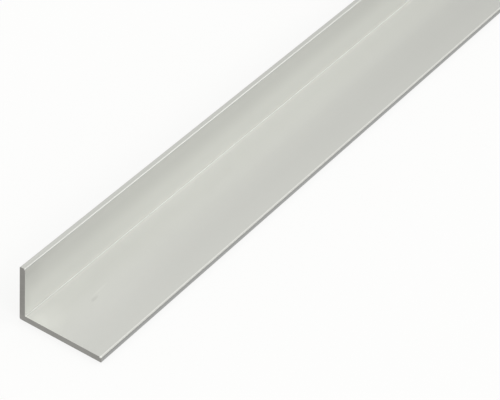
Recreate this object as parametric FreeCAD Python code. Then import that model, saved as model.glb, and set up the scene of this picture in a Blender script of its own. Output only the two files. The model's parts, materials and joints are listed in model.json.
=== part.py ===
"""Unequal-leg angle section: one length of extruded aluminium stock, sawn square at both ends.

The bar lies on the outside of its long leg, with the short leg standing up at its left side.
X runs across the long leg, Y along the bar and Z up. The origin is in the middle of the
bounding box's underside. All sizes are in millimetres.
"""

import math
import os

import FreeCAD
import Part

# Driving dimensions
LONG_LEG = 30.0  # outside width of the leg that lies flat
SHORT_LEG = 20.0  # outside height of the leg that stands up
THICKNESS = 2.0  # wall of both legs
LENGTH = 1000.0  # sawn length of the bar
HEEL_RADIUS = 0.6  # outer corner, where the legs meet
ROOT_RADIUS = 0.3  # inner corner, where the legs meet
TOE_RADIUS = 0.5  # both corners of each leg's free edge
END_BREAK = 0.05  # bevel that deburring leaves round each sawn end

# Places that follow from them
OUTER_X = -LONG_LEG / 2
INNER_X = OUTER_X + THICKNESS
TOE_X = OUTER_X + LONG_LEG
NEAR_Y = -LENGTH / 2


def section_corners():
    """The section's six sharp corners, counter-clockwise seen from the near end, each with its radius."""
    return [
        (OUTER_X, 0.0, HEEL_RADIUS),
        (TOE_X, 0.0, TOE_RADIUS),
        (TOE_X, THICKNESS, TOE_RADIUS),
        (INNER_X, THICKNESS, ROOT_RADIUS),
        (INNER_X, SHORT_LEG, TOE_RADIUS),
        (OUTER_X, SHORT_LEG, TOE_RADIUS),
    ]


def rounded_corner(before, corner, after, radius):
    """Start, middle and end of the arc that rounds the corner between two straight sides."""
    to_before = (before - corner).normalize()
    to_after = (after - corner).normalize()
    half_angle = to_before.getAngle(to_after) / 2
    inward = (to_before + to_after).normalize()
    centre = corner + inward * (radius / math.sin(half_angle))
    tangent_length = radius / math.tan(half_angle)
    return (
        corner + to_before * tangent_length,
        centre - inward * radius,
        corner + to_after * tangent_length,
    )


def section_face():
    """The section as a flat face at the near end."""
    corners = section_corners()
    points = [FreeCAD.Vector(x, NEAR_Y, z) for x, z, _ in corners]
    count = len(corners)
    arcs = [
        rounded_corner(points[i - 1], points[i], points[(i + 1) % count], corners[i][2])
        for i in range(count)
    ]
    edges = []
    for i, (start, middle, end) in enumerate(arcs):
        next_start = arcs[(i + 1) % count][0]
        edges.append(Part.Arc(start, middle, end).toShape())
        edges.append(Part.LineSegment(end, next_start).toShape())
    return Part.Face(Part.Wire(edges))


def lies_in_plane(edge, y):
    """Whether an edge lies wholly in the plane at this Y, as the outline of a sawn end does."""
    tolerance = 1e-6
    box = edge.BoundBox
    return abs(box.YMin - y) < tolerance and abs(box.YMax - y) < tolerance


def angle_section():
    """The whole bar: the section carried along Y, with its two sawn ends deburred."""
    bar = section_face().extrude(FreeCAD.Vector(0, LENGTH, 0))
    ends = (NEAR_Y, NEAR_Y + LENGTH)
    outline = [e for e in bar.Edges if any(lies_in_plane(e, y) for y in ends)]
    return bar.makeChamfer(END_BREAK, outline)


def main():
    os.makedirs("parts", exist_ok=True)
    bar = angle_section()
    bar.exportStep("parts/angle_section.step")
    print(
        "angle_section: valid", bar.isValid(), "solids", len(bar.Solids), "faces", len(bar.Faces)
    )
    print(f"volume {bar.Volume:.1f} mm3, section {bar.Volume / LENGTH:.2f} mm2")
    print("box", bar.BoundBox)


main()
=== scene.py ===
"""Looks of the aluminium angle section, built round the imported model.

The visible bar is one closed surface: the section's rounded outline is carried along Y and turned
over a small rounding into the two sawn ends. It wears three finishes, which are the anodised skin,
the bare metal of the deburred edges and the bare sawn ends.

Lengths are in metres, and in the finishes and the marks on them in millimetres. In a finish a
swing is how much a pattern changes the tone, a dullness how much a pattern or a place adds to
the roughness, and a drop how much darker a place is.
"""

import json
import logging
import math
from dataclasses import dataclass
from enum import Enum
from typing import Mapping, Sequence, Union

import bpy
import numpy as np
from mathutils import Matrix, Vector


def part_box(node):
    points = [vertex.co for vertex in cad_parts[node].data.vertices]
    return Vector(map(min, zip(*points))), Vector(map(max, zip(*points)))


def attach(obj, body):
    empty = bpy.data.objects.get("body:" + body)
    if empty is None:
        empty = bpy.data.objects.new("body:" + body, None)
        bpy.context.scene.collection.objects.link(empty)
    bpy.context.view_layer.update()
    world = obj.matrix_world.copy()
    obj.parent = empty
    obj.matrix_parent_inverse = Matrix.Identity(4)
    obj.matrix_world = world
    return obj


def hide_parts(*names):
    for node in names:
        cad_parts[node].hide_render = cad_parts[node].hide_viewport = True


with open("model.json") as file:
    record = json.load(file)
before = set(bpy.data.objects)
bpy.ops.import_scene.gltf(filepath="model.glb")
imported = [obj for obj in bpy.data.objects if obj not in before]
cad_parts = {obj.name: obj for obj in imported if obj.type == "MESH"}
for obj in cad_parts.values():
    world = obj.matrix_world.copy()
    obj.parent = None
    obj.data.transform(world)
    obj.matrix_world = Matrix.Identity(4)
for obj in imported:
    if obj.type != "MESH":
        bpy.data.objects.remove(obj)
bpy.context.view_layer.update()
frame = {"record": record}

NODE = "angle_section"
BODY = "root"
MM = 0.001

# The Mix node's colour sockets, by number because its other kinds share their names
FIRST_COLOUR = 6
SECOND_COLOUR = 7
MIXED_COLOUR = 2

log = logging.getLogger("angle_section")

Triple = tuple[float, float, float]
Opaque = tuple[float, float, float, float]


class Finish(Enum):
    """The finishes on the bar's surface, in the order of its material slots."""

    SKIN = 0
    BROKEN_EDGE = 1
    SAWN_END = 2


class Corner(Enum):
    """The section's three inner corners."""

    ROOT = "root"
    LONG_TOE = "long leg's toe"
    SHORT_TOE = "short leg's toe"


class Signal:
    """A node's output socket. Arithmetic on it adds Math nodes to its graph."""

    def __init__(self, graph: "NodeGraph", socket: bpy.types.NodeSocket | None) -> None:
        """Keep the graph and the socket, which only an output node lacks."""
        self.graph = graph
        self.socket = socket

    def _maths(self, operation: str, first: "Value", second: "Value") -> "Signal":
        """A Math node on two values."""
        return self.graph.add("ShaderNodeMath", {"operation": operation}, {0: first, 1: second})

    def __add__(self, other: "Value") -> "Signal":
        """self + other"""
        return self._maths("ADD", self, other)

    def __radd__(self, other: "Value") -> "Signal":
        """other + self"""
        return self._maths("ADD", other, self)

    def __sub__(self, other: "Value") -> "Signal":
        """self - other"""
        return self._maths("SUBTRACT", self, other)

    def __rsub__(self, other: "Value") -> "Signal":
        """other - self"""
        return self._maths("SUBTRACT", other, self)

    def __mul__(self, other: "Value") -> "Signal":
        """self * other"""
        return self._maths("MULTIPLY", self, other)

    def __rmul__(self, other: "Value") -> "Signal":
        """other * self"""
        return self._maths("MULTIPLY", other, self)


Value = Union[Signal, float]
Paint = Union[Signal, Opaque]


def opaque(colour: Triple, factor: float = 1.0) -> Opaque:
    """A colour made darker or lighter by one factor, with its alpha."""
    return (*(channel * factor for channel in colour), 1.0)


class NodeGraph:
    """A shader's node tree, to which nodes are added by type, settings and socket values."""

    def __init__(self, tree: bpy.types.NodeTree) -> None:
        """Take over a tree and empty it."""
        tree.nodes.clear()
        self.tree = tree

    def add(
        self,
        kind: str,
        settings: Mapping[str, object] | None = None,
        inputs: Mapping[Union[str, int], object] | None = None,
        output: Union[str, int] = 0,
    ) -> Signal:
        """Add one node.

        Args:
            kind: The node's type, such as ShaderNodeMath.
            settings: Its own properties, set before its sockets are touched.
            inputs: Values or signals for its input sockets, by name, or by number where two of
                them share a name.
            output: The output socket to hand back, by name or number.

        Returns:
            The chosen output socket as a signal.
        """
        node = self.tree.nodes.new(kind)
        for name, setting in (settings or {}).items():
            setattr(node, name, setting)
        for key, value in (inputs or {}).items():
            if isinstance(value, Signal):
                self.tree.links.new(value.socket, node.inputs[key])
            else:
                node.inputs[key].default_value = value
        return Signal(self, node.outputs[output] if len(node.outputs) else None)

    def object_mm(self, stretch: float = 1.0) -> Signal:
        """The surface point in millimetres, in the bar's own frame.

        Args:
            stretch: How many times longer along the bar than across it a pattern there comes out.

        Returns:
            The point as a vector signal.
        """
        place = self.add("ShaderNodeTexCoord", output="Object")
        per_axis = (1 / MM, 1 / (MM * stretch), 1 / MM)
        return self.add("ShaderNodeMapping", {}, {"Vector": place, "Scale": per_axis})

    def along(self, axis: str, place: Signal) -> Signal:
        """How far a point lies along an axis, X, Y or Z."""
        return self.add("ShaderNodeSeparateXYZ", {}, {"Vector": place}, axis)

    def nearness(
        self, place: Signal, centre: Triple, half_sizes: Triple, turn: float, core: float = 0.3
    ) -> Signal:
        """How near a point is to the middle of an oval.

        The point is carried into the oval's own frame and divided by its half sizes there, so
        that the oval's edge lies one away from its middle.

        Args:
            place: The point, in millimetres.
            centre: The oval's middle, in millimetres.
            half_sizes: Its half sizes along its own X, Y and Z, in millimetres.
            turn: Degrees that it is turned about Z.
            core: The share of its half sizes within which the signal is 1.

        Returns:
            A value signal that rises smoothly from 0 at the edge to 1 at the core.
        """
        frame_inputs = {
            "Vector": place,
            "Location": centre,
            "Rotation": (0.0, 0.0, math.radians(turn)),
            "Scale": half_sizes,
        }
        local = self.add("ShaderNodeMapping", {"vector_type": "TEXTURE"}, frame_inputs)
        reach = self.add("ShaderNodeVectorMath", {"operation": "LENGTH"}, {0: local}, "Value")
        return self.ramp(reach, 1.0, core)

    def noise(self, vector: Signal, pitch: float, detail: float = 2.0) -> Signal:
        """Noise about zero.

        Args:
            vector: The point to read it at, in millimetres.
            pitch: The size of its patches in millimetres.
            detail: How many finer octaves it has.

        Returns:
            A value signal from about -0.5 to 0.5.
        """
        mean = 0.5
        inputs = {"Vector": vector, "Scale": 1 / pitch, "Detail": detail}
        return self.add("ShaderNodeTexNoise", {}, inputs) - mean

    def ramp(self, value: Value, low: float, high: float) -> Signal:
        """A smooth step from 0 where value is at low to 1 where it is at high."""
        inputs = {"Value": value, "From Min": low, "From Max": high}
        return self.add("ShaderNodeMapRange", {"interpolation_type": "SMOOTHSTEP"}, inputs)

    def toned(self, colour: Triple, tone: Signal) -> Signal:
        """A colour times a signal.

        Args:
            colour: The colour where the signal is 1.
            tone: The factor, from 0.5 to 1.5. Past those it has no more effect.

        Returns:
            The colour signal, mixed between half and one and a half times the colour.
        """
        darkest, lightest = 0.5, 1.5
        share = (tone - darkest) * (1 / (lightest - darkest))
        return self.mixed(opaque(colour, darkest), opaque(colour, lightest), share)

    def mixed(self, first: Paint, second: Paint, share: Signal) -> Signal:
        """Two colours mixed, from the first where share is 0 to the second where it is 1."""
        inputs = {"Factor": share, FIRST_COLOUR: first, SECOND_COLOUR: second}
        return self.add("ShaderNodeMix", {"data_type": "RGBA"}, inputs, MIXED_COLOUR)

    def bump(self, height: Signal, depth: float) -> Signal:
        """A normal signal from relief.

        Args:
            height: The relief, as a value signal.
            depth: The depth in millimetres of one unit of it.

        Returns:
            The bent normal.
        """
        return self.add("ShaderNodeBump", {}, {"Height": height, "Distance": depth * MM})

    def finish_metal(self, inputs: Mapping[str, object]) -> None:
        """Close the graph with a metal surface and its output.

        Args:
            inputs: The surface's colour, roughness and normal, by socket.
        """
        surface = self.add("ShaderNodeBsdfPrincipled", {}, {"Metallic": 1.0, **inputs})
        self.add("ShaderNodeOutputMaterial", {}, {"Surface": surface})


def new_material(name: str) -> tuple[bpy.types.Material, NodeGraph]:
    """Start a material.

    Args:
        name: Its name.

    Returns:
        The material and its emptied graph.
    """
    material = bpy.data.materials.new(name)
    material.use_nodes = True
    return material, NodeGraph(material.node_tree)


@dataclass(frozen=True)
class Mark:
    """An oval patch that is lighter than the finish round it, or darker where tone is below 0.

    Its middle is measured from the heel's outer side, the near sawn end and the underside, and
    its half sizes lie along the same axes, turned about Z by turn degrees. Grain is the swing of
    a noise that breaks it up into patches grain_pitch wide.
    """

    middle: Triple
    half_sizes: Triple
    tone: float
    turn: float = 0.0
    grain: float = 0.0
    grain_pitch: float = 0.8

    def cover(self, graph: NodeGraph, place: Signal, corner: Triple) -> Signal:
        """How much of the surface the mark covers.

        Args:
            graph: The finish's graph.
            place: The surface point, in millimetres.
            corner: The bar's lowest corner, in millimetres.

        Returns:
            A value signal from 0 beside the mark to 1 in its middle, broken up by its grain.
        """
        centre = tuple(start + offset for start, offset in zip(corner, self.middle))
        oval = graph.nearness(place, centre, self.half_sizes, self.turn)
        if self.grain:
            oval = oval * (1.0 + self.grain * graph.noise(place, self.grain_pitch))
        return oval


def marked(marks: Sequence[Mark], graph: NodeGraph, place: Signal, corner: Triple) -> Signal:
    """The tones of marks added up, each as far as its mark covers the surface."""
    return sum(mark.tone * mark.cover(graph, place, corner) for mark in marks)


@dataclass(frozen=True)
class Streak:
    """A band along the whole bar that is lighter than the skin, or darker where tone is below 0.

    Its middle is measured across and up from one of the section's corners. Its half length is
    bar_lengths times the bar's length, so that it doesn't fade towards the sawn ends.
    """

    corner: Corner
    middle: tuple[float, float]
    half_sizes: tuple[float, float]
    tone: float
    bar_lengths: float = 10.0

    def mark(self, size: Triple, wall: float) -> Mark:
        """The band as a mark that reaches past both sawn ends.

        Args:
            size: The bar's width, length and height, in millimetres.
            wall: The legs' wall, in millimetres.

        Returns:
            The mark.
        """
        corners = {
            Corner.ROOT: (wall, wall),
            Corner.LONG_TOE: (size[0], wall),
            Corner.SHORT_TOE: (wall, size[2]),
        }
        across, up = (start + offset for start, offset in zip(corners[self.corner], self.middle))
        half_across, half_up = self.half_sizes
        half_sizes = (half_across, self.bar_lengths * size[1], half_up)
        return Mark((across, size[1] / 2, up), half_sizes, self.tone)


@dataclass(frozen=True)
class SatinSkin:
    """The anodised skin: a satin, slightly warm silver with faint lines from the die.

    Its tone changes in streaks that run the whole length, most of them painted light and shade:
    painted light where the two legs meet with painted shade in the crease beside it, painted
    highlights along the toes' inner edges with painted shade just under the long toe's edge,
    painted shade high on the short leg's inner face, and darker towards the long leg's toe. The
    long leg's toe side is duller than the faces and darker by painted shade, and toe_reach is how
    far inside it this begins and is full. By the near end the long leg is lighter and the short
    leg's inner face darker by painted shade. Handling has left a scuff on the long leg, and
    glints are painted on the near end's two upper toe corners.
    """

    colour: Triple = (0.616, 0.620, 0.606)
    roughness: float = 0.34
    die_line_pitch: float = 0.45
    die_line_length: float = 220.0
    die_line_detail: float = 3.0
    die_line_depth: float = 0.003
    die_line_swing: float = 0.035
    die_line_dullness: float = 0.10
    cloud_pitch: float = 14.0
    cloud_length: float = 56.0
    cloud_swing: float = 0.05
    cloud_dullness: float = 0.06
    # The toe side's darkening is painted shade, while its dullness is the real finish
    toe_painted_shade: float = 0.33
    toe_dullness: float = 0.10
    toe_reach: tuple[float, float] = (0.48, 0.33)
    streaks: tuple[Streak, ...] = (
        # Painted light about the root on both legs, with a thin painted shade in the crease beside it
        Streak(Corner.ROOT, (4.5, 0.0), (10.0, 2.4), 0.076),
        Streak(Corner.ROOT, (0.0, 0.0), (1.6, 1.2), 0.075),
        Streak(Corner.ROOT, (0.3, 0.0), (0.5, 0.3), -0.16),
        # A painted highlight along the long toe's upper edge, painted shade on the toe side just under
        # it, and darker on the long leg inside it
        Streak(Corner.LONG_TOE, (-0.45, 0.0), (0.45, 0.45), 0.26),
        Streak(Corner.LONG_TOE, (0.0, -0.3), (0.35, 0.5), -0.07),
        Streak(Corner.LONG_TOE, (-3.0, 0.0), (12.0, 2.0), -0.03),
        # A painted highlight along the short toe's inner edge, and painted shade down the face below it
        Streak(Corner.SHORT_TOE, (-0.25, 0.0), (0.55, 0.45), 0.06),
        Streak(Corner.SHORT_TOE, (1.0, -2.0), (3.2, 11.0), -0.11),
    )
    scuff: tuple[Mark, ...] = (
        # A long light stroke, and a short dark one beside its near end
        Mark((11.6, 22.9, 2.0), (0.55, 5.3, 2.0), 0.045, turn=3.0, grain=1.0),
        Mark((12.9, 18.8, 2.0), (0.75, 2.3, 2.0), -0.11, turn=4.6, grain=1.0),
    )
    near_end: tuple[Mark, ...] = (
        # The long leg, lightest close to the root and fading over the first 60 mm
        Mark((8.0, 0.0, 2.0), (6.5, 14.0, 2.0), 0.09),
        Mark((6.3, 0.0, 2.0), (4.6, 5.5, 2.0), 0.06),
        Mark((2.6, 0.0, 2.0), (1.6, 0.9, 1.2), 0.10),
        Mark((17.5, 0.0, 2.0), (14.0, 60.0, 2.0), 0.033),
        Mark((5.5, 15.0, 2.0), (3.8, 17.0, 0.8), 0.028),
        # The short leg's inner face, darker by painted shade, darkest at the end itself and high up
        Mark((2.0, 0.0, 14.0), (2.0, 10.0, 12.0), -0.04),
        Mark((2.0, 0.0, 18.5), (1.6, 24.0, 3.2), -0.045),
        Mark((2.0, 0.0, 12.0), (2.0, 160.0, 13.0), -0.035),
        Mark((2.0, 0.0, 6.5), (1.2, 3.2, 7.0), -0.065),
        # The short leg's toe, a little lighter
        Mark((1.2, 4.0, 20.0), (0.9, 26.0, 0.5), 0.045),
    )
    # Painted glints on the near end's two upper toe corners
    painted_corner_glints: tuple[Mark, ...] = (
        Mark((29.5, 0.15, 2.0), (0.5, 0.6, 0.5), 0.50),
        Mark((1.7, 0.0, 19.95), (0.5, 0.8, 0.35), 0.14),
    )

    def material(self, low: Triple, high: Triple, wall: float) -> bpy.types.Material:
        """Build the skin's material.

        Args:
            low: The bar's lowest corner, in millimetres.
            high: Its highest corner, in millimetres.
            wall: The legs' wall, in millimetres.

        Returns:
            The material, whose lines run along the bar's length.
        """
        material, graph = new_material("satin_anodised_skin")
        place = graph.object_mm()
        drawn_out = graph.object_mm(self.die_line_length / self.die_line_pitch)
        lines = graph.noise(drawn_out, self.die_line_pitch, self.die_line_detail)
        clouds = graph.noise(graph.object_mm(self.cloud_length / self.cloud_pitch), self.cloud_pitch)
        start, end = self.toe_reach
        toe_side = graph.ramp(graph.along("X", place), high[0] - start, high[0] - end)
        size = tuple(b - a for a, b in zip(low, high))
        streaks = tuple(streak.mark(size, wall) for streak in self.streaks)
        marks = streaks + self.scuff + self.near_end + self.painted_corner_glints
        tone = 1.0 + self.die_line_swing * lines + self.cloud_swing * clouds
        # The toe side's darkening is painted shade, and the streaks and corner marks are mostly painted
        # light, shade and glints
        tone = tone - self.toe_painted_shade * toe_side + marked(marks, graph, place, low)
        roughness = self.roughness + self.die_line_dullness * lines + self.cloud_dullness * clouds
        graph.finish_metal(
            {
                "Base Color": graph.toned(self.colour, tone),
                "Roughness": roughness + self.toe_dullness * toe_side,
                "Normal": graph.bump(lines, self.die_line_depth),
            }
        )
        return material


@dataclass(frozen=True)
class BrokenEdge:
    """The bare metal where a file or a brush has broken the sawn ends' sharp edges."""

    colour: Triple = (0.50, 0.50, 0.48)
    roughness: float = 0.35
    stroke_pitch: float = 0.5
    stroke_detail: float = 3.0
    stroke_swing: float = 0.2
    stroke_dullness: float = 0.15

    def material(self) -> bpy.types.Material:
        """Build the broken edges' material.

        Returns:
            The material.
        """
        material, graph = new_material("bare_broken_edge")
        strokes = graph.noise(graph.object_mm(), self.stroke_pitch, self.stroke_detail)
        graph.finish_metal(
            {
                "Base Color": graph.toned(self.colour, 1.0 + self.stroke_swing * strokes),
                "Roughness": self.roughness + self.stroke_dullness * strokes,
            }
        )
        return material


@dataclass(frozen=True)
class SawnEnd:
    """The bare sawn end: dull grey metal with the saw's fine curved lines, darker partly by painted
    shade.

    The lines are rings about the saw's centre, which lies saw_radius off along saw_way, across
    and up. The patterns are drawn out along the bar by face_stretch, until only the place across
    it counts. The short leg's end is darker than the long leg's, and short_leg_start is the
    heights at which this begins and is full. Glints are painted on the near end's two upper toe
    corners: there a mark's tone is its share of painted_glint_colour, and glint_polish is how much
    smoother that is.
    """

    # Its darkness is partly the bare sawn metal's own and partly painted shade on the end faces
    colour: Triple = (0.343, 0.338, 0.321)
    roughness: float = 0.5
    short_leg_drop: float = 0.145
    short_leg_start: tuple[float, float] = (1.2, 2.8)
    saw_radius: float = 125.0
    saw_way: tuple[float, float] = (-0.6, 0.8)
    line_pitch: float = 0.22
    line_depth: float = 0.004
    line_swing: float = 0.25
    patch_pitch: float = 2.5
    patch_swing: float = 0.25
    patch_dullness: float = 0.10
    face_stretch: float = 1000.0
    # Painted glints on the near end's two upper toe corners, in a near-white colour
    painted_end_glints: tuple[Mark, ...] = (
        Mark((29.45, 0.0, 2.0), (0.55, 1.0, 0.55), 1.0),
        Mark((1.85, 0.0, 19.75), (0.4, 1.0, 0.45), 0.5),
    )
    painted_glint_colour: Triple = (0.92, 0.92, 0.90)
    glint_polish: float = 0.15

    def material(self, low: Triple) -> bpy.types.Material:
        """Build the sawn ends' material.

        Args:
            low: The bar's lowest corner, in millimetres.

        Returns:
            The material.
        """
        material, graph = new_material("bare_sawn_end")
        face = graph.object_mm(self.face_stretch)
        hub = (self.saw_way[0] * self.saw_radius, 0.0, self.saw_way[1] * self.saw_radius)
        away = graph.add("ShaderNodeVectorMath", {"operation": "DISTANCE"}, {0: face, 1: hub}, "Value")
        ring = graph.add("ShaderNodeCombineXYZ", {}, {"X": away})
        saw_lines = graph.noise(ring, self.line_pitch)
        patches = graph.noise(face, self.patch_pitch)
        start, end = self.short_leg_start
        short_leg = graph.ramp(graph.along("Z", face), low[2] + start, low[2] + end)
        tone = 1.0 + self.line_swing * saw_lines + self.patch_swing * patches
        sawn = graph.toned(self.colour, tone - self.short_leg_drop * short_leg)
        # Where the painted glints lie, on the near end's upper toe corners
        glint_cover = marked(self.painted_end_glints, graph, graph.object_mm(), low)
        roughness = self.roughness + self.patch_dullness * patches - self.glint_polish * glint_cover
        graph.finish_metal(
            {
                "Base Color": graph.mixed(sawn, opaque(self.painted_glint_colour), glint_cover),
                "Roughness": roughness,
                "Normal": graph.bump(saw_lines, self.line_depth),
            }
        )
        return material


@dataclass(frozen=True)
class PaleFloor:
    """The plain pale floor that the bar lies on.

    The camera and the metal see it glow a little, so that it is white with a light shadow.
    """

    half_width: float = 60.0
    gap: float = 0.02 * MM
    colour: Triple = (0.95, 0.95, 0.95)
    glow: float = 0.80

    def build(self, height: float) -> None:
        """Lay the floor just under the bar.

        Args:
            height: The height of the bar's underside.
        """
        w, z = self.half_width, height - self.gap
        mesh = bpy.data.meshes.new("pale_floor")
        mesh.from_pydata([(-w, -w, z), (w, -w, z), (w, w, z), (-w, w, z)], [], [(0, 1, 2, 3)])
        material, graph = new_material("matt_pale_floor")
        matt = graph.add("ShaderNodeBsdfDiffuse", {}, {"Color": opaque(self.colour)})
        white = graph.add("ShaderNodeEmission", {}, {"Strength": 1.0})
        kinds = ("Is Camera Ray", "Is Glossy Ray", "Is Transmission Ray")
        camera, glossy, transmitted = (graph.add("ShaderNodeLightPath", output=kind) for kind in kinds)
        share = self.glow * (camera + glossy + transmitted)
        surface = graph.add("ShaderNodeMixShader", {}, {0: share, 1: matt, 2: white})
        graph.add("ShaderNodeOutputMaterial", {}, {"Surface": surface})
        mesh.materials.append(material)
        floor = bpy.data.objects.new("pale_floor", mesh)
        bpy.context.scene.collection.objects.link(floor)


@dataclass(frozen=True)
class AngleBar:
    """The bar: an L-shaped outline carried along Y between two sawn ends with rounded edges.

    Seen from the near end the outline has two halves of three right-angled corners each. The
    outer half runs from the long leg's toe under the bar, round the heel and up to the short
    leg's toe, and the inner half runs over the long leg, round the root and up to the same toe.
    """

    low: Vector
    high: Vector
    wall: float
    heel_radius: float = 0.6 * MM
    root_radius: float = 0.3 * MM
    toe_radius: float = 0.5 * MM
    end_break: float = 0.05 * MM
    arc_steps: int = 10
    leg_steps: int = 24
    break_steps: int = 6
    length_steps: int = 80

    def half_outline(
        self, corners: np.ndarray, ways: np.ndarray, radii: np.ndarray, turn: int
    ) -> tuple[np.ndarray, np.ndarray]:
        """One half of the section's outline.

        A corner met along way a and left along way b has its arc's centre at corner + r (b - a).
        At angle t of the quarter turn the point is centre + r (a sin t - b cos t), and the way
        of travel there is a cos t + b sin t. The outward normal is that way turned a right angle.

        Args:
            corners: The three sharp corners, as rows of X and Z.
            ways: The four unit directions of travel before, between and after them.
            radii: The three corners' radii.
            turn: 1 where outside is to the left of the travel, and -1 where it is to the right.

        Returns:
            The points and their outward unit normals, as rows of X and Z.
        """
        t = np.linspace(0, math.pi / 2, self.arc_steps + 1)[None, :, None]
        a, b, r = ways[:-1, None], ways[1:, None], radii[:, None, None]
        arcs = corners[:, None] + r * (b - a) + r * (a * np.sin(t) - b * np.cos(t))
        arc_ways = a * np.cos(t) + b * np.sin(t)
        s = (np.arange(1, self.leg_steps) / self.leg_steps)[None, :, None]
        legs = arcs[:-1, -1:] * (1 - s) + arcs[1:, :1] * s
        leg_ways = np.broadcast_to(ways[1:-1, None], legs.shape)
        points = np.concatenate([arcs[0], legs[0], arcs[1], legs[1], arcs[2]])
        travel = np.concatenate([arc_ways[0], leg_ways[0], arc_ways[1], leg_ways[1], arc_ways[2]])
        return points, turn * np.stack([-travel[:, 1], travel[:, 0]], axis=1)

    def outline(self) -> tuple[np.ndarray, np.ndarray]:
        """The whole outline, clockwise seen from the near end.

        Returns:
            The points and their outward unit normals, as rows of X and Z: the outer half and
            then the inner half backwards.
        """
        left, right = self.low.x, self.high.x
        bottom, top = self.low.z, self.high.z
        outer = np.array([(right, bottom), (left, bottom), (left, top)])
        outer_ways = np.array([(0, -1), (-1, 0), (0, 1), (1, 0)], float)
        root_x, root_z = left + self.wall, bottom + self.wall
        inner = np.array([(right, root_z), (root_x, root_z), (root_x, top)])
        inner_ways = np.array([(0, 1), (-1, 0), (0, 1), (-1, 0)], float)
        outer_radii = np.array([self.toe_radius, self.heel_radius, self.toe_radius])
        inner_radii = np.array([self.toe_radius, self.root_radius, self.toe_radius])
        outer_points, outer_normals = self.half_outline(outer, outer_ways, outer_radii, 1)
        inner_points, inner_normals = self.half_outline(inner, inner_ways, inner_radii, -1)
        points = np.vstack([outer_points, inner_points[::-1]])
        return points, np.vstack([outer_normals, inner_normals[::-1]])

    def stations(self) -> tuple[np.ndarray, np.ndarray]:
        """Where the outline stands along the bar, and how far its surface has turned there.

        Returns:
            The stations' Y, and at each the angle by which the surface's normal leans along the
            bar: -90 degrees at the near sawn end, 0 on the skin and 90 at the far sawn end.
        """
        turn = np.linspace(-math.pi / 2, 0, self.break_steps + 1)
        near = self.low.y + self.end_break * (1 + np.sin(turn))
        far = self.high.y - self.end_break * (1 + np.sin(turn[::-1]))
        middle = np.linspace(near[-1], far[0], self.length_steps + 1)[1:-1]
        y = np.concatenate([near, middle, far])
        return y, np.concatenate([turn, np.zeros(len(middle)), -turn[::-1]])

    def surface(self) -> tuple[np.ndarray, np.ndarray]:
        """The bar's surface on a grid of stations by outline points.

        At station y with turn angle g the point is the outline's, moved in along its normal n by
        end_break (1 - cos g), and the surface's normal is n cos g + Y sin g.

        Returns:
            The points and the unit normals, each in an array of stations x outline x 3.
        """
        section, normal = self.outline()
        y, turn = self.stations()
        inset = self.end_break * (1 - np.cos(turn))
        flat = section[None] - inset[:, None, None] * normal[None]
        along = np.broadcast_to(y[:, None], flat.shape[:2])
        points = np.stack([flat[..., 0], along, flat[..., 1]], axis=2)
        across = normal[None] * np.cos(turn)[:, None, None]
        lean = np.broadcast_to(np.sin(turn)[:, None], across.shape[:2])
        return points, np.stack([across[..., 0], lean, across[..., 1]], axis=2)

    def skin_faces(self, rows: int, columns: int) -> np.ndarray:
        """The quads between neighbouring stations, row by row.

        Args:
            rows: How many stations the grid has.
            columns: How many points the outline has.

        Returns:
            The quads, pointing outwards.
        """
        row, column = np.meshgrid(np.arange(rows - 1), np.arange(columns), indexing="ij")
        here, after = row * columns + column, row * columns + (column + 1) % columns
        return np.stack([here, after, after + columns, here + columns], axis=2).reshape(-1, 4)

    def end_faces(self, first: int, columns: int) -> np.ndarray:
        """The quads that close an end, each from the outline's outer half across the wall.

        Args:
            first: The number of the end ring's first point.
            columns: How many points the outline has.

        Returns:
            The quads, pointing towards -Y.
        """
        outer = first + np.arange(columns // 2)
        inner = first + columns - 1 - np.arange(columns // 2)
        return np.stack([outer[:-1], inner[:-1], inner[1:], outer[1:]], axis=1)

    def build(self, finishes: Sequence[bpy.types.Material]) -> bpy.types.Object:
        """Make the bar's object.

        Args:
            finishes: The materials, in the order of Finish.

        Returns:
            The object, closed, with its place in its mesh.
        """
        points, normals = self.surface()
        rows, columns = points.shape[:2]
        skin = self.skin_faces(rows, columns)
        near = self.end_faces(0, columns)
        far = self.end_faces((rows - 1) * columns, columns)[:, ::-1]
        faces = np.vstack([skin, near, far])
        ring = np.repeat(np.arange(rows - 1), columns)
        broken = (ring < self.break_steps) | (ring >= rows - 1 - self.break_steps)
        wears = np.where(broken, Finish.BROKEN_EDGE.value, Finish.SKIN.value)
        wears = np.concatenate([wears, np.full(len(near) + len(far), Finish.SAWN_END.value)])
        mesh = bpy.data.meshes.new("angle_bar")
        mesh.from_pydata(points.reshape(-1, 3).tolist(), [], faces.tolist())
        mesh.polygons.foreach_set("material_index", wears.astype(np.int32))
        mesh.polygons.foreach_set("use_smooth", np.ones(len(faces), bool))
        for material in finishes:
            mesh.materials.append(material)
        mesh.normals_split_custom_set_from_vertices(normals.reshape(-1, 3).tolist())
        mesh.validate(verbose=True, clean_customdata=False)
        bar = bpy.data.objects.new("angle_bar", mesh)
        bpy.context.scene.collection.objects.link(bar)
        return bar


def direction(azimuth: float, elevation: float) -> Vector:
    """The unit vector towards a place on the sky.

    Args:
        azimuth: Degrees round from the near side, -Y, towards +X.
        elevation: Degrees above the floor.

    Returns:
        The vector.
    """
    a, e = math.radians(azimuth), math.radians(elevation)
    return Vector((math.sin(a) * math.cos(e), -math.cos(a) * math.cos(e), math.sin(e)))


@dataclass(frozen=True)
class SoftLamp:
    """A large round soft lamp, so far off that it lights the whole bar alike.

    It gives a white surface facing it a brightness of level. Its angles are in degrees.
    """

    name: str
    azimuth: float
    elevation: float
    spread: float
    level: float

    def build(self, colour: Triple) -> None:
        """Hang the lamp.

        Args:
            colour: The colour of its light.
        """
        light = bpy.data.lights.new(self.name, "SUN")
        light.energy = math.pi * self.level
        light.color = colour
        light.angle = math.radians(self.spread)
        lamp = bpy.data.objects.new(self.name, light)
        bpy.context.scene.collection.objects.link(lamp)
        lamp.rotation_euler = direction(self.azimuth, self.elevation).to_track_quat("Z", "Y").to_euler()


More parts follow.
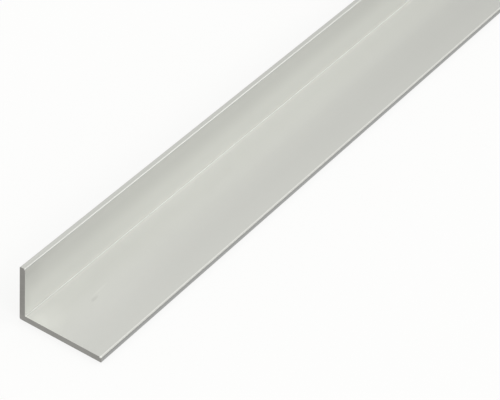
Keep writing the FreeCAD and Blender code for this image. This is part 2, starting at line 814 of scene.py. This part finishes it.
@dataclass(frozen=True)
class Studio:
    """Plain soft light, faintly warm: an even pale surround and a few large soft lamps."""

    colour: Triple = (1.0, 1.0, 0.96)
    surround: float = 0.80
    lamps: tuple[SoftLamp, ...] = (
        SoftLamp("back_right", 135.0, 38.0, 26.0, 0.088),
        SoftLamp("back", 165.0, 38.0, 26.0, 0.045),
        SoftLamp("back_left", 210.0, 50.0, 30.0, 0.027),
        SoftLamp("right", 80.0, 45.0, 24.0, 0.10),
    )

    def build(self) -> None:
        """Light the scene."""
        world = bpy.data.worlds.new("pale_surround")
        world.use_nodes = True
        graph = NodeGraph(world.node_tree)
        inputs = {"Color": opaque(self.colour), "Strength": self.surround}
        surround = graph.add("ShaderNodeBackground", {}, inputs)
        graph.add("ShaderNodeOutputWorld", {}, {"Surface": surround})
        bpy.context.scene.world = world
        for lamp in self.lamps:
            lamp.build(self.colour)


@dataclass(frozen=True)
class PhotoCamera:
    """The camera, given by where it looks and from which side, as fitted to the bar's edges.

    Its angles are in degrees and its lens is in millimetres.
    """

    azimuth: float = 31.4336
    elevation: float = 38.7444
    roll: float = 4.9865
    distance: float = 686.71 * MM
    lens: float = 157.906
    aim_across: float = 5.87 * MM
    aim_along: float = 87.93 * MM

    def build(self, low: Vector) -> None:
        """Set the camera up as the scene's own.

        Args:
            low: The bar's lowest corner. The aim lies on the floor, aim_along past its near end.
        """
        back = direction(self.azimuth, self.elevation)
        aim = Vector((self.aim_across, low.y + self.aim_along, low.z))
        level = back.to_track_quat("Z", "Y").to_matrix().to_4x4()
        tilt = Matrix.Rotation(math.radians(self.roll), 4, "Z")
        data = bpy.data.cameras.new("photo_camera")
        data.lens = self.lens
        camera = bpy.data.objects.new("photo_camera", data)
        camera.matrix_world = Matrix.Translation(aim + back * self.distance) @ level @ tilt
        bpy.context.scene.collection.objects.link(camera)
        bpy.context.scene.camera = camera


def wall_thickness() -> float:
    """The legs' wall, from the height of the mount on the long leg's inner face."""
    mounts = {mount["name"]: mount for mount in frame["record"]["mounts"]}
    return mounts["long_leg_inner_face"]["pos_m"][2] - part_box(NODE)[0].z


def report(piece: bpy.types.Object) -> None:
    """Log a piece's name, number of triangles and box.

    Args:
        piece: The piece.
    """
    triangles = sum(len(face.vertices) - 2 for face in piece.data.polygons)
    places = np.array([corner[:] for corner in piece.bound_box]) / MM
    log.info(
        "%s: %d triangles, from %s to %s mm", piece.name, triangles,
        places.min(axis=0).round(3).tolist(), places.max(axis=0).round(3).tolist(),
    )


def main() -> None:
    """Build the bar, its floor, the light and the camera."""
    logging.basicConfig(level=logging.INFO, format="%(name)s: %(message)s")
    low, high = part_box(NODE)
    PhotoCamera().build(low)
    wall = wall_thickness()
    low_mm, high_mm = tuple(low / MM), tuple(high / MM)
    skin = SatinSkin().material(low_mm, high_mm, wall / MM)
    finishes = (skin, BrokenEdge().material(), SawnEnd().material(low_mm))
    bar = AngleBar(low, high, wall).build(finishes)
    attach(bar, BODY)
    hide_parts(NODE)
    report(bar)
    PaleFloor().build(low.z)
    Studio().build()
    bpy.context.scene.view_settings.view_transform = "Standard"


if __name__ == "__main__":
    main()
